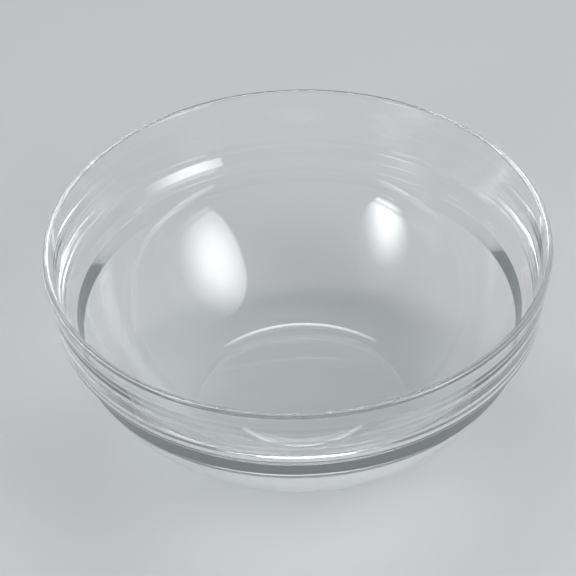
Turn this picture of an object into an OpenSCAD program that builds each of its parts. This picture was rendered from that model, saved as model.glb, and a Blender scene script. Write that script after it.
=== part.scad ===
// Stacking prep bowl of clear pressed and tempered glass, standing on its foot.
// One solid of revolution: a tiered collar with a rounded lip, a stacking shoulder
// under it, a curved body and a round foot with a shallow dish underneath.
// Millimetres. The origin is the middle of the foot's face on the ground, +Z is up.

/* [Overall] */
// Diameter over the lip, the widest part
bowl_d = 140; // [128:1:156]
// Height from the ground to the top of the lip
bowl_h = 60; // [52:1:76]

/* [Lip and collar] */
// Thickness of the glass at its rounded lip
lip_w = 2.1; // [1.4:0.1:2.8]
// Depth of the lip band, from the top of the lip to its lower edge
lip_band_h = 5.1; // [4:0.1:7]
// How far the lip band draws in at its lower edge, on the radius
lip_draft = 0.8; // [0.3:0.05:1.4]
// Height of the upper band, below the lip band
upper_band_h = 5.6; // [4:0.1:7]
// Depth of the whole collar, from the top of the lip to the shoulder's edge
collar_h = 19.3; // [17:0.1:23]
// How far the upper and lower bands draw in together, on the radius
collar_draft = 1.4; // [0.8:0.05:2]
// How far each band steps in under the one above it
band_step = 0.15; // [0.1:0.05:0.25]
// Height of the small slope at each step
step_h = 0.5; // [0.4:0.05:1]
// Thickness of the collar at its lower end, over the ledge
collar_wall = 3.1; // [2.5:0.1:3.8]
// Depth of the ledge inside, from the top of the lip
ledge_depth = 17.4; // [15:0.1:19]
// Height of the ledge's slope, from the collar's wall to the body's curve
ledge_h = 1.9; // [1.5:0.1:2.6]

/* [Stacking shoulder] */
// How far the shoulder goes in under the collar
shoulder_w = 3.9; // [2:0.1:5]
// Height of the shoulder's sloping face
shoulder_h = 4.1; // [2.5:0.1:6]
// Height of the neck between the shoulder and the curved body
neck_h = 5.6; // [4:0.1:8]
// How far the neck draws in towards the body
neck_draft = 0.8; // [0.2:0.05:1.6]

/* [Body and foot] */
// Radius of the body's curve, seen in section
body_curve_r = 60.4; // [48:0.2:90]
// Thickness of the body's wall, from the ledge to the floor
wall = 3.5; // [2.8:0.1:4]
// Diameter of the foot, before its edge is rounded
foot_d = 60.6; // [52:0.2:70]
// Thickness of the floor over the ground
floor_t = 3.5; // [2.6:0.1:5]
// Radius of the hollow corner between the floor and the wall
floor_round = 10; // [6:0.1:13]
// Width of the flat ring that the bowl stands on
foot_ring_w = 2.8; // [1.6:0.1:5]
// Depth of the shallow dish inside that ring
dish_h = 0.4; // [0.2:0.05:0.8]

/* [Edges] */
// Rounding of the foot's outer edge
foot_round = 1.4; // [0.6:0.1:2.4]
// Rounding of the shoulder's outer edge
shoulder_round = 1; // [0.5:0.1:2]
// Rounding of the hollow where the shoulder meets the neck
neck_round = 0.8; // [0.4:0.1:2]
// Rounding of the edge where the neck meets the body
brow_round = 2; // [1:0.1:4]
// Rounding of the band steps
step_round = 1.5; // [0.8:0.1:2]
// Rounding of the hollow where the collar's wall meets the ledge
ledge_round = 1; // [0.5:0.1:2]
// Rounding of the ledge's inner edge
ledge_edge_round = 0.8; // [0.4:0.1:1.6]

/* [Hidden] */
$fn = 240;
glass_tint = [0.80, 0.90, 0.90, 0.45];
// Overrun of every cut, and reach of a rounding past the sides that it joins
over = 0.2;
// How far a rounding's circle stands past those sides, so that it crosses them cleanly
bite = 0.002;

bowl_r = bowl_d / 2;
foot_r = foot_d / 2;
nose_r = lip_w / 2;
nose = [bowl_r - nose_r, bowl_h - nose_r];

// Corners of the outside, from the lip down
lower_band_h = collar_h - lip_band_h - upper_band_h;
band_draft_rate = collar_draft / (upper_band_h + lower_band_h - 2 * step_h);
lip_foot = [bowl_r - lip_draft, bowl_h - lip_band_h];
upper_top = lip_foot - [band_step, step_h];
upper_foot = upper_top - [band_draft_rate, 1] * (upper_band_h - step_h);
lower_top = upper_foot - [band_step, step_h];
shoulder_edge = lower_top - [band_draft_rate, 1] * (lower_band_h - step_h);
neck_top = shoulder_edge - [shoulder_w, shoulder_h];
brow = neck_top - [neck_draft, neck_h];

// Centre of the body's curve, which runs from the edge of the foot to the brow
foot_edge = [foot_r, 0];
chord = brow - foot_edge;
chord_to_centre = sqrt(pow(body_curve_r, 2) - pow(norm(chord) / 2, 2));
body_centre = (foot_edge + brow) / 2 + unit([-chord[1], chord[0]]) * chord_to_centre;

// The ledge runs from the collar's wall to the body's curve, one wall inside the outer one
cavity_r = body_curve_r - wall;
seat_z = bowl_h - ledge_depth;
seat_top = at_height(lower_top, shoulder_edge, seat_z) - [collar_wall, 0];
seat_foot = line_to_arc([0, seat_z - ledge_h], [1, 0], body_centre, cavity_r);

// Points where the walls meet the rounded lip
nose_out = touch_point(lip_foot, nose, nose_r - bite, -1);
nose_in = touch_point(seat_top, nose, nose_r - bite, 1);

// The same sides drawn on past the blank, above the lip and below the ground
top = bowl_h + 2 * over;
side = bowl_r + lip_w;
nose_out_top = at_height(lip_foot, nose_out, top);
nose_in_top = at_height(seat_top, nose_in, top);
neck_end = at_height(neck_top, brow, -over);

// The shallow dish under the foot is a cap of a large ball
foot_turn = line_to_arc([0, foot_round], [1, 0], body_centre, body_curve_r - foot_round);
dish_r = foot_turn[0] - foot_ring_w;
dish_ball_r = (pow(dish_r, 2) + pow(dish_h, 2)) / (2 * dish_h);

// The space round the bowl, down to the neck's own line. Each corner is [point, rounding]
outer_space = [
    [neck_end, 0],
    [[side, -over], 0],
    [[side, top], 0],
    [nose_out_top, 0],
    [lip_foot, step_round],
    [upper_top, step_round],
    [upper_foot, step_round],
    [lower_top, step_round],
    [shoulder_edge, shoulder_round],
    [neck_top, neck_round],
];

// The room inside the bowl, before the body's curve limits it
inner_space = [
    [[0, floor_t], 0],
    [[seat_foot[0], floor_t], 0],
    [seat_foot, 0],
    [seat_top, ledge_round],
    [nose_in_top, 0],
    [[0, top], 0],
];

function unit(v) = v / norm(v);
function turn(p, v, q) = cross(v - p, q - v);

// Point at height z on the line through p and q
function at_height(p, q, z) = p + (q - p) * (z - p[1]) / (q[1] - p[1]);

// Point where a line from q touches the circle of radius r at c
function touch_point(q, c, r, side) =
    let (w = c - q, d = norm(w), a = atan2(w[1], w[0]) + side * asin(r / d))
    q + sqrt(d * d - r * r) * [cos(a), sin(a)];

// Point at distance d from c, on the line from p along the unit vector u
function line_to_arc(p, u, c, d) =
    let (w = p - c, b = w * u)
    p + u * (sqrt(b * b - w * w + d * d) - b);

// What lies between a sharp corner and its rounding of radius r about c
module corner_patch(t1, t2, c, r) {
    mid = unit((t1 + t2) / 2 - c);
    reach = (r + over) / r;
    tip = c + mid * (r + over) / (unit(t1 - c) * mid);
    difference() {
        polygon([c, c + (t1 - c) * reach, tip, c + (t2 - c) * reach]);
        translate(c) circle(r + bite);
    }
}

// The same patch at corner v of an outline, between its neighbours p and q
module straight_patch(p, v, q, r) {
    u = unit(p - v);
    w = unit(q - v);
    half = acos(u * w) / 2;
    c = v + unit(u + w) * r / sin(half);
    corner_patch(v + u * r / tan(half), v + w * r / tan(half), c, r);
}

// The patch where a straight side meets a curve about the body's centre: p is on the side, u is
// its direction and n points out of the shape, which lies inside the curve, or outside with side 1
module curve_patch(p, u, n, r, curve_r, side = -1) {
    c = line_to_arc(p - n * r, u, body_centre, curve_r + side * r);
    corner_patch(c + n * r, body_centre + unit(c - body_centre) * curve_r, c, r);
}

// The roundings of an outline's outward corners, or of its inward ones with side -1.
// Corners are [point, rounding], counter-clockwise
module roundings(corners, side = 1) {
    n = len(corners);
    for (i = [0:n - 1]) {
        p = corners[(i + n - 1) % n][0];
        q = corners[(i + 1) % n][0];
        v = corners[i];
        if (v[1] > 0 && side * turn(p, v[0], q) > 0) straight_patch(p, v[0], q, v[1]);
    }
}

// An outline with its outward corners rounded
module rounded(corners) {
    difference() {
        polygon([for (c = corners) c[0]]);
        roundings(corners);
    }
}

// Everything below a height that lies outside a curve about the body's centre
module outside_curve(curve_r, height) {
    difference() {
        translate([0, -over]) square([side, height + over]);
        translate(body_centre) circle(curve_r);
    }
}

module cavity() {
    difference() {
        rounded(inner_space);
        outside_curve(cavity_r, seat_foot[1]);
        curve_patch([0, floor_t], [1, 0], [0, -1], floor_round, cavity_r);
    }
}

// What the rounded lip leaves out between the two sides of the wall
module lip_rounding() {
    out = unit(nose_out - nose) * (nose_r + over);
    in = unit(nose_in - nose) * (nose_r + over);
    difference() {
        polygon([nose, nose + out, nose_out_top + [over, 0], nose_in_top - [over, 0], nose + in]);
        translate(nose) circle(nose_r);
    }
}

// Half a section of the glass: a blank less the space round it, in it and under it
module section() {
    neck_dir = unit(brow - neck_top);
    ledge_dir = unit(seat_top - seat_foot);
    difference() {
        square([bowl_r + over, bowl_h + over]);
        rounded(outer_space);
        roundings(outer_space, -1);
        outside_curve(body_curve_r, brow[1] + neck_h / 2);
        curve_patch([0, 0], [1, 0], [0, -1], foot_round, body_curve_r);
        curve_patch(neck_top, neck_dir, [-neck_dir[1], neck_dir[0]], brow_round, body_curve_r);
        cavity();
        curve_patch(seat_foot, ledge_dir, [-ledge_dir[1], ledge_dir[0]], ledge_edge_round, cavity_r, 1);
        lip_rounding();
        translate([0, dish_h - dish_ball_r]) circle(dish_ball_r);
    }
}

module bowl() {
    color(glass_tint) rotate_extrude() section();
}

bowl();
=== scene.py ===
# Stacking prep bowl in clear glass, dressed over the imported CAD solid.
import bpy
import math
from mathutils import Matrix, Quaternion, Vector


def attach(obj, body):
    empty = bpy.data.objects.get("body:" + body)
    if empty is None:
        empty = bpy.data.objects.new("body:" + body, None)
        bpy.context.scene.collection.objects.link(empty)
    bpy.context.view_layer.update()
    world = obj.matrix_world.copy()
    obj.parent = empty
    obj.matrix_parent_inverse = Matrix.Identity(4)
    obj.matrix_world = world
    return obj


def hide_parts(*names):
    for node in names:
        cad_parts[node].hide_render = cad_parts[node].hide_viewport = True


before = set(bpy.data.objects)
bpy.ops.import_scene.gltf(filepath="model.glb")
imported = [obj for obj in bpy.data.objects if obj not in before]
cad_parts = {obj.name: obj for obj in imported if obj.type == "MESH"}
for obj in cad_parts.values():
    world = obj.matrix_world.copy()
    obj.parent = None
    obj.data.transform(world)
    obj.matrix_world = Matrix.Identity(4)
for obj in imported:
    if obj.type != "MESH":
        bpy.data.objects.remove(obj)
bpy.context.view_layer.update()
mm = 0.001  # the dictionaries are in millimetres, Blender is in metres


def hexColour(code):
    # sRGB hex to the linear values that the shaders want, with an alpha of 1
    parts = [int(code[i:i + 2], 16) / 255 for i in (1, 3, 5)]
    linear = [c / 12.92 if c <= 0.04045 else ((c + 0.055) / 1.055) ** 2.4 for c in parts]
    return (*linear, 1)


def addNode(tree, kind, settings=None, inputs=None, links=None):
    # settings are attributes, inputs are socket values, links are socket: (node, output)
    node = tree.nodes.new(kind)
    for name, value in (settings or {}).items():
        setattr(node, name, value)
    for name, value in (inputs or {}).items():
        node.inputs[name].default_value = value
    for name, (source, output) in (links or {}).items():
        tree.links.new(source.outputs[output], node.inputs[name])
    return node


def emptyTree(owner):
    owner.use_nodes = True
    owner.node_tree.nodes.clear()
    return owner.node_tree


# The bowl's section: radius and height in mm, from the foot's face up

bowlSize = {
    "diameter": 140,
    "height": 60,
    "lipWidth": 2.1,
    "lipBand": 5.1,
    "lipDraft": 0.8,
    "upperBand": 5.6,
    "collar": 19.3,       # from the top of the lip to the shoulder's edge
    "collarDraft": 1.4,   # how far the upper and lower bands draw in together
    "bandStep": 0.15,     # how far each band steps in under the one above it
    "stepHeight": 0.5,
    "collarWall": 3.1,    # at the ledge
    "ledgeDepth": 17.4,   # from the top of the lip
    "ledgeHeight": 1.9,
    "shoulderWidth": 3.9,  # how far it goes in under the collar
    "shoulderHeight": 4.1,
    "neck": 5.6,
    "neckDraft": 0.8,
    "bodyCurve": 60.4,
    "wall": 3.5,
    "foot": 60.6,         # across, before its edge is rounded
    "floor": 3.5,         # thickness
    "floorRound": 10,     # between the floor and the wall
    "footRing": 2.8,      # width of the flat ring that the bowl stands on
    "dish": 0.4,          # depth of the shallow dish inside that ring
    "footRound": 1.4,
    "shoulderRound": 1,
    "neckRound": 0.8,
    "browRound": 2,
    "stepRound": 1.5,
    "ledgeRound": 1,
    "ledgeEdge": 0.8,
    "turns": 384,         # facets round the bowl, a multiple of 4 so that the widest points are kept
    "arcStep": 5,         # degrees between points on a rounding
    "bodyStep": 1.2,      # degrees between points on the body's long curves
    "dishStep": 0.15,     # degrees between points on the dish, which has a large radius
    "longStep": 4,        # mm between points on a straight stretch
    "edgeStep": 0.06,     # mm from a rounding's end to the next point, which keeps the stretch flat
    "shortest": 0.24,     # mm, the shortest stretch that gets points of its own
    "nearStep": 0.002,    # mm below which two points are one
}


def unit(v):
    return v / v.length


def arcPoints(centre, radius, start, end, step, fewest=3):
    # points on the shorter way round from one angle to another, in degrees
    sweep = (end - start + 180) % 360 - 180
    count = max(fewest, math.ceil(abs(sweep) / step))
    angles = [math.radians(start + sweep * i / count) for i in range(count + 1)]
    return [centre + radius * Vector((math.cos(a), math.sin(a))) for a in angles]


def angleOf(v):
    return math.degrees(math.atan2(v.y, v.x))


def roundCorner(before, corner, after, radius, step):
    # the rounding of a corner between two straight stretches
    u = unit(before - corner)
    w = unit(after - corner)
    half = math.acos(max(-1, min(1, u.dot(w)))) / 2
    centre = corner + unit(u + w) * radius / math.sin(half)
    first = corner + u * radius / math.tan(half)
    last = corner + w * radius / math.tan(half)
    return arcPoints(centre, radius, angleOf(first - centre), angleOf(last - centre), step)


def onLine(point, direction, centre, distance):
    # where the line reaches that distance from the centre
    w = point - centre
    b = w.dot(direction)
    return point + direction * (math.sqrt(b * b - w.dot(w) + distance * distance) - b)


def touchPoint(point, centre, radius, side):
    # where a line from the point touches the circle, left of the centre with side 1 and right with -1
    w = centre - point
    angle = math.atan2(w.y, w.x) + side * math.asin(radius / w.length)
    return point + math.sqrt(w.dot(w) - radius * radius) * Vector((math.cos(angle), math.sin(angle)))


def bowlSection(s):
    # the curved runs of the outline, from the middle of the underside round the lip to the middle of
    # the floor; straight stretches join each run to the next
    step = s["arcStep"]
    bowlRadius = s["diameter"] / 2
    noseRadius = s["lipWidth"] / 2
    nose = Vector((bowlRadius - noseRadius, s["height"] - noseRadius))
    lowerBand = s["collar"] - s["lipBand"] - s["upperBand"]
    draftRate = s["collarDraft"] / (s["upperBand"] + lowerBand - 2 * s["stepHeight"])
    lipFoot = Vector((bowlRadius - s["lipDraft"], s["height"] - s["lipBand"]))
    upperTop = lipFoot - Vector((s["bandStep"], s["stepHeight"]))
    upperFoot = upperTop - Vector((draftRate, 1)) * (s["upperBand"] - s["stepHeight"])
    lowerTop = upperFoot - Vector((s["bandStep"], s["stepHeight"]))
    shoulderEdge = lowerTop - Vector((draftRate, 1)) * (lowerBand - s["stepHeight"])
    neckTop = shoulderEdge - Vector((s["shoulderWidth"], s["shoulderHeight"]))
    brow = neckTop - Vector((s["neckDraft"], s["neck"]))

    # the body's curve runs from the edge of the foot to the brow
    outward = Vector((1, 0))
    footEdge = Vector((s["foot"] / 2, 0))
    chord = brow - footEdge
    reach = math.sqrt(s["bodyCurve"] ** 2 - chord.length ** 2 / 4)
    centre = (footEdge + brow) / 2 + unit(Vector((-chord.y, chord.x))) * reach
    cavity = s["bodyCurve"] - s["wall"]

    # inside, the ledge leads from the collar's wall to the body's curve
    seatHeight = s["height"] - s["ledgeDepth"]
    outerRadius = shoulderEdge.x + (seatHeight - shoulderEdge.y) * draftRate
    seatTop = Vector((outerRadius - s["collarWall"], seatHeight))
    seatFoot = onLine(Vector((0, seatHeight - s["ledgeHeight"])), outward, centre, cavity)

    # underside: a shallow dish, the flat ring and the foot's rounded edge
    footCentre = onLine(Vector((0, s["footRound"])), outward, centre, s["bodyCurve"] - s["footRound"])
    dishRadius = footCentre.x - s["footRing"]
    ball = (dishRadius ** 2 + s["dish"] ** 2) / (2 * s["dish"])
    dishCentre = Vector((0, s["dish"] - ball))
    dishEnd = angleOf(Vector((dishRadius, 0)) - dishCentre)
    runs = [arcPoints(dishCentre, ball, 90, dishEnd, s["dishStep"])]
    runs.append(arcPoints(footCentre, s["footRound"], -90, angleOf(footCentre - centre), step))

    # body, brow and neck
    neckWay = unit(brow - neckTop)
    inward = Vector((neckWay.y, -neckWay.x)) * s["browRound"]
    browCentre = onLine(neckTop + inward, neckWay, centre, s["bodyCurve"] - s["browRound"])
    browAngle = angleOf(browCentre - centre)
    runs.append(arcPoints(centre, s["bodyCurve"], angleOf(footCentre - centre), browAngle, s["bodyStep"]))
    runs.append(arcPoints(browCentre, s["browRound"], browAngle, angleOf(-inward), step))

    # shoulder and collar
    runs.append(roundCorner(brow, neckTop, shoulderEdge, s["neckRound"], step))
    runs.append(roundCorner(neckTop, shoulderEdge, lowerTop, s["shoulderRound"], step))
    noseOut = touchPoint(lipFoot, nose, noseRadius, -1)
    noseIn = touchPoint(seatTop, nose, noseRadius, 1)
    bands = [shoulderEdge, lowerTop, upperFoot, upperTop, lipFoot, noseOut]
    for before, corner, after in zip(bands, bands[1:], bands[2:]):
        runs.append(roundCorner(before, corner, after, s["stepRound"], step))
    runs.append(arcPoints(nose, noseRadius, angleOf(noseOut - nose), 90, step))
    runs.append(arcPoints(nose, noseRadius, 90, angleOf(noseIn - nose), step))

    # inside: the ledge, the wall and the floor
    runs.append(roundCorner(noseIn, seatTop, seatFoot, s["ledgeRound"], step))
    seatWay = unit(seatTop - seatFoot)
    intoGlass = Vector((seatWay.y, -seatWay.x))
    edgeCentre = onLine(seatFoot + intoGlass * s["ledgeEdge"], seatWay, centre, cavity + s["ledgeEdge"])
    edgeAngle = angleOf(centre - edgeCentre)
    runs.append(arcPoints(edgeCentre, s["ledgeEdge"], angleOf(-intoGlass), edgeAngle, step))
    cornerStart = Vector((0, s["floor"] + s["floorRound"]))
    floorCentre = onLine(cornerStart, outward, centre, cavity - s["floorRound"])
    floorAngle = angleOf(floorCentre - centre)
    runs.append(arcPoints(centre, cavity, angleOf(edgeCentre - centre), floorAngle, s["bodyStep"]))
    runs.append(arcPoints(floorCentre, s["floorRound"], floorAngle, -90, step))
    runs.append([Vector((0, s["floor"]))])
    return runs


def joinedRuns(runs, s):
    # one outline, with a point near both ends of every straight stretch, so it shades flat
    points = list(runs[0])
    for run in runs[1:]:
        start, length = points[-1], (run[0] - points[-1]).length
        if length > s["shortest"]:
            inner = round(length / s["longStep"])
            edge = s["edgeStep"] / length
            shares = [edge] + [i / (inner + 1) for i in range(1, inner + 1)] + [1 - edge]
            points += [start.lerp(run[0], share) for share in shares]
        points += run if length > s["nearStep"] else run[1:]
    return points


def latheMesh(name, outline, turns, axisGap=1e-6):
    # an outline that starts and ends on the axis, or within axisGap mm of it, turned about it
    vertices, rings, faces = [], [], []
    for point in outline:
        if point.x < axisGap:
            rings.append([len(vertices)] * turns)
            vertices.append((0, 0, point.y * mm))
        else:
            rings.append(list(range(len(vertices), len(vertices) + turns)))
            for i in range(turns):
                angle = 2 * math.pi * i / turns
                radius = point.x * mm
                vertices.append((radius * math.cos(angle), radius * math.sin(angle), point.y * mm))
    for low, high in zip(rings, rings[1:]):
        for i in range(turns):
            j = (i + 1) % turns
            corners = [low[i], low[j], high[j], high[i]]
            faces.append([c for k, c in enumerate(corners) if c not in corners[:k]])
    mesh = bpy.data.meshes.new(name)
    mesh.from_pydata(vertices, [], faces)
    mesh.update()
    for face in mesh.polygons:
        face.use_smooth = True
    return mesh


outline = joinedRuns(bowlSection(bowlSize), bowlSize)
bowl = bpy.data.objects.new("prepBowl", latheMesh("prepBowl", outline, bowlSize["turns"]))
bpy.context.scene.collection.objects.link(bowl)
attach(bowl, "root")
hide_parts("bowl")
print("bowl:", len(outline), "points in the section,", len(bowl.data.vertices), "vertices")

# Pressed and tempered soda-lime glass, fire-polished: clear and mirror-smooth, with the slow
# waves that the fire leaves and the fine rings that a turned mould leaves

glassLook = {
    "colour": "#FDFEFE",
    "ior": 1.52,
    "roughness": 0.01,
    "waveLength": 22,     # mm between the slow waves
    "waveDepth": 0.03,    # mm
    "ringSpacing": 1.1,   # mm between the fine rings
    "ringDepth": 0.0012,  # mm
    "ringStretch": 0.02,  # along the ring against across it, so only the height changes the pattern
    "mirrored": 11.5,     # light mirrored more often than this inside the glass is let straight out
    "leftOver": "#E6E9E8",  # what each surface then leaves of it
    "shade": "#C4C9C7",     # what each surface leaves of the lamps' light on its way to the floor
}


def clearGlass(look):
    material = bpy.data.materials.new("clearPressedGlass")
    tree = emptyTree(material)
    place = addNode(tree, "ShaderNodeTexCoord")
    waves = addNode(tree, "ShaderNodeTexNoise",
                    inputs={"Scale": 1 / (look["waveLength"] * mm), "Detail": 1, "Roughness": 0.4},
                    links={"Vector": (place, "Object")})
    stretched = addNode(tree, "ShaderNodeMapping",
                        inputs={"Scale": (look["ringStretch"], look["ringStretch"], 1)},
                        links={"Vector": (place, "Object")})
    rings = addNode(tree, "ShaderNodeTexNoise",
                    inputs={"Scale": 1 / (look["ringSpacing"] * mm), "Detail": 2, "Roughness": 0.5},
                    links={"Vector": (stretched, "Vector")})
    waveBump = addNode(tree, "ShaderNodeBump", inputs={"Strength": 1, "Distance": look["waveDepth"] * mm},
                       links={"Height": (waves, "Fac")})
    ringBump = addNode(tree, "ShaderNodeBump", inputs={"Strength": 1, "Distance": look["ringDepth"] * mm},
                       links={"Height": (rings, "Fac"), "Normal": (waveBump, "Normal")})
    glass = addNode(tree, "ShaderNodeBsdfPrincipled",
                    inputs={"Base Color": hexColour(look["colour"]), "Roughness": look["roughness"],
                            "IOR": look["ior"], "Transmission Weight": 1},
                    links={"Normal": (ringBump, "Normal")})
    path = addNode(tree, "ShaderNodeLightPath")
    caught = addNode(tree, "ShaderNodeMath", {"operation": "GREATER_THAN"}, {1: look["mirrored"]},
                     {0: (path, "Glossy Depth")})
    straight = addNode(tree, "ShaderNodeBsdfTransparent", inputs={"Color": hexColour(look["leftOver"])})
    seen = addNode(tree, "ShaderNodeMixShader",
                   links={"Fac": (caught, "Value"), 1: (glass, "BSDF"), 2: (straight, "BSDF")})
    shade = addNode(tree, "ShaderNodeBsdfTransparent", inputs={"Color": hexColour(look["shade"])})
    mix = addNode(tree, "ShaderNodeMixShader",
                  links={"Fac": (path, "Is Shadow Ray"), 1: (seen, "Shader"), 2: (shade, "BSDF")})
    addNode(tree, "ShaderNodeOutputMaterial", links={"Surface": (mix, "Shader")})
    return material


bowl.data.materials.append(clearGlass(glassLook))
print("glass: done")

# Floor, light and camera

stageLook = {
    "floorColour": "#C0C2C4",
    "floorRoughness": 0.7,
    "floorReach": 6000,      # mm from the middle to each side
    "floorGap": 0.02,        # mm under the foot, so that the two faces don't fight
    "skyColour": "#9A9C9F",  # a little darker than the floor, which draws the glass's edges
    "skyLight": 0.5,
}


def paleFloor(look):
    reach = look["floorReach"] * mm
    corners = [(-reach, -reach, 0), (reach, -reach, 0), (reach, reach, 0), (-reach, reach, 0)]
    mesh = bpy.data.meshes.new("floor")
    mesh.from_pydata(corners, [], [(0, 1, 2, 3)])
    floor = bpy.data.objects.new("floor", mesh)
    floor.location.z = -look["floorGap"] * mm
    bpy.context.scene.collection.objects.link(floor)
    material = bpy.data.materials.new("matPaper")
    tree = emptyTree(material)
    colour = hexColour(look["floorColour"])
    paper = addNode(tree, "ShaderNodeBsdfPrincipled",
                    inputs={"Base Color": colour, "Roughness": look["floorRoughness"]})
    addNode(tree, "ShaderNodeOutputMaterial", links={"Surface": (paper, "BSDF")})
    mesh.materials.append(material)


def studioSky(look):
    world = bpy.data.worlds.new("studio")
    bpy.context.scene.world = world
    tree = emptyTree(world)
    path = addNode(tree, "ShaderNodeLightPath")
    glossy = addNode(tree, "ShaderNodeMath", {"operation": "MAXIMUM"},
                     links={0: (path, "Is Camera Ray"), 1: (path, "Is Glossy Ray")})
    seen = addNode(tree, "ShaderNodeMath", {"operation": "MAXIMUM"},
                   links={0: (glossy, "Value"), 1: (path, "Is Transmission Ray")})
    # what the floor gathers through the glass is the sky's light, not the backdrop
    direct = addNode(tree, "ShaderNodeMath", {"operation": "LESS_THAN"}, {1: 0.5},
                     {0: (path, "Diffuse Depth")})
    backdrop = addNode(tree, "ShaderNodeMath", {"operation": "MULTIPLY"},
                       links={0: (seen, "Value"), 1: (direct, "Value")})
    light = addNode(tree, "ShaderNodeBackground",
                    inputs={"Color": hexColour("#FFFFFF"), "Strength": look["skyLight"]})
    shown = addNode(tree, "ShaderNodeBackground",
                    inputs={"Color": hexColour(look["skyColour"]), "Strength": 1})
    mix = addNode(tree, "ShaderNodeMixShader",
                  links={"Fac": (backdrop, "Value"), 1: (light, "Background"), 2: (shown, "Background")})
    addNode(tree, "ShaderNodeOutputWorld", links={"Surface": (mix, "Shader")})


# each softbox leans so many degrees, which sets its image upright in the round glass; it is brightest
# at its hot point, in mm from its middle across and up, and fades over so many mm across and up
softboxes = [
    {"name": "softboxRight", "azimuth": -25, "elevation": 36, "lean": -25, "width": 760, "height": 1150,
     "hot": (-150, 0), "fade": (400, 740), "watts": 14},
    {"name": "softboxLeft", "azimuth": -144, "elevation": 34, "lean": 25, "width": 460, "height": 900,
     "hot": (-31, -256), "fade": (250, 540), "watts": 8},
    {"name": "softboxBack", "azimuth": 90, "elevation": 62, "lean": 0, "width": 600, "height": 200,
     "hot": (0, 60), "fade": (500, 240), "watts": 3},
]
softboxDistance = 980  # mm
softboxAim = 30        # mm above the floor
softboxRim = 0.03      # what is left of the light at the end of the fade


def addSoftbox(box):
    azimuth, elevation = math.radians(box["azimuth"]), math.radians(box["elevation"])
    level = math.cos(elevation)
    away = Vector((level * math.cos(azimuth), level * math.sin(azimuth), math.sin(elevation)))
    light = bpy.data.lights.new(box["name"], "AREA")
    light.shape = "ELLIPSE"
    light.size, light.size_y = box["width"] * mm, box["height"] * mm
    light.energy = box["watts"]
    tree = emptyTree(light)
    # Parametric runs from 0 to 1 across the lamp and up it
    place = addNode(tree, "ShaderNodeNewGeometry")
    offset = addNode(tree, "ShaderNodeVectorMath", {"operation": "SUBTRACT"},
                     {1: (0.5 + box["hot"][0] / box["width"], 0.5 + box["hot"][1] / box["height"], 0)},
                     {0: (place, "Parametric")})
    inFades = addNode(tree, "ShaderNodeVectorMath", {"operation": "MULTIPLY"},
                      {1: (box["width"] / box["fade"][0], box["height"] / box["fade"][1], 0)},
                      {0: (offset, "Vector")})
    reach = addNode(tree, "ShaderNodeVectorMath", {"operation": "LENGTH"}, links={0: (inFades, "Vector")})
    fade = addNode(tree, "ShaderNodeMapRange", {"interpolation_type": "SMOOTHSTEP"},
                   {"From Min": 0, "From Max": 1, "To Min": 1, "To Max": softboxRim},
                   {"Value": (reach, "Value")})
    glow = addNode(tree, "ShaderNodeEmission", links={"Strength": (fade, "Result")})
    addNode(tree, "ShaderNodeOutputLight", links={"Surface": (glow, "Emission")})
    holder = bpy.data.objects.new(box["name"], light)
    holder.location = Vector((0, 0, softboxAim * mm)) + away * softboxDistance * mm
    lean = Quaternion((0, 0, 1), math.radians(box["lean"]))
    holder.rotation_euler = ((-away).to_track_quat("-Z", "Y") @ lean).to_euler()
    bpy.context.scene.collection.objects.link(holder)


cameraPlace = {
    "location": (0, -612.95, 569.75),
    "target": (-2.94, -7.81, 50.02),
    "roll": -2.03,   # degrees
    "lens": 182.03,
    "sensor": 36,
    "nearest": 50,
    "farthest": 20000,
}


def addCamera(place):
    data = bpy.data.cameras.new("camera")
    data.lens = place["lens"]
    data.sensor_width = place["sensor"]
    data.clip_start, data.clip_end = place["nearest"] * mm, place["farthest"] * mm
    camera = bpy.data.objects.new("camera", data)
    location, target = Vector(place["location"]) * mm, Vector(place["target"]) * mm
    aim = (target - location).to_track_quat("-Z", "Y").to_matrix().to_4x4()
    roll = Matrix.Rotation(math.radians(place["roll"]), 4, "Z")
    camera.matrix_world = Matrix.Translation(location) @ aim @ roll
    bpy.context.scene.collection.objects.link(camera)
    bpy.context.scene.camera = camera


paleFloor(stageLook)
studioSky(stageLook)
for box in softboxes:
    addSoftbox(box)
addCamera(cameraPlace)
bpy.context.scene.view_settings.view_transform = "Standard"

# light runs round inside a thick lip many times before it leaves, which makes the rim sparkle
lightPaths = {"max_bounces": 24, "glossy_bounces": 16, "transmission_bounces": 16}
for name, most in lightPaths.items():
    setattr(bpy.context.scene.cycles, name, most)
print("stage: floor, sky,", len(softboxes), "softboxes and camera")

bpy.context.view_layer.update()
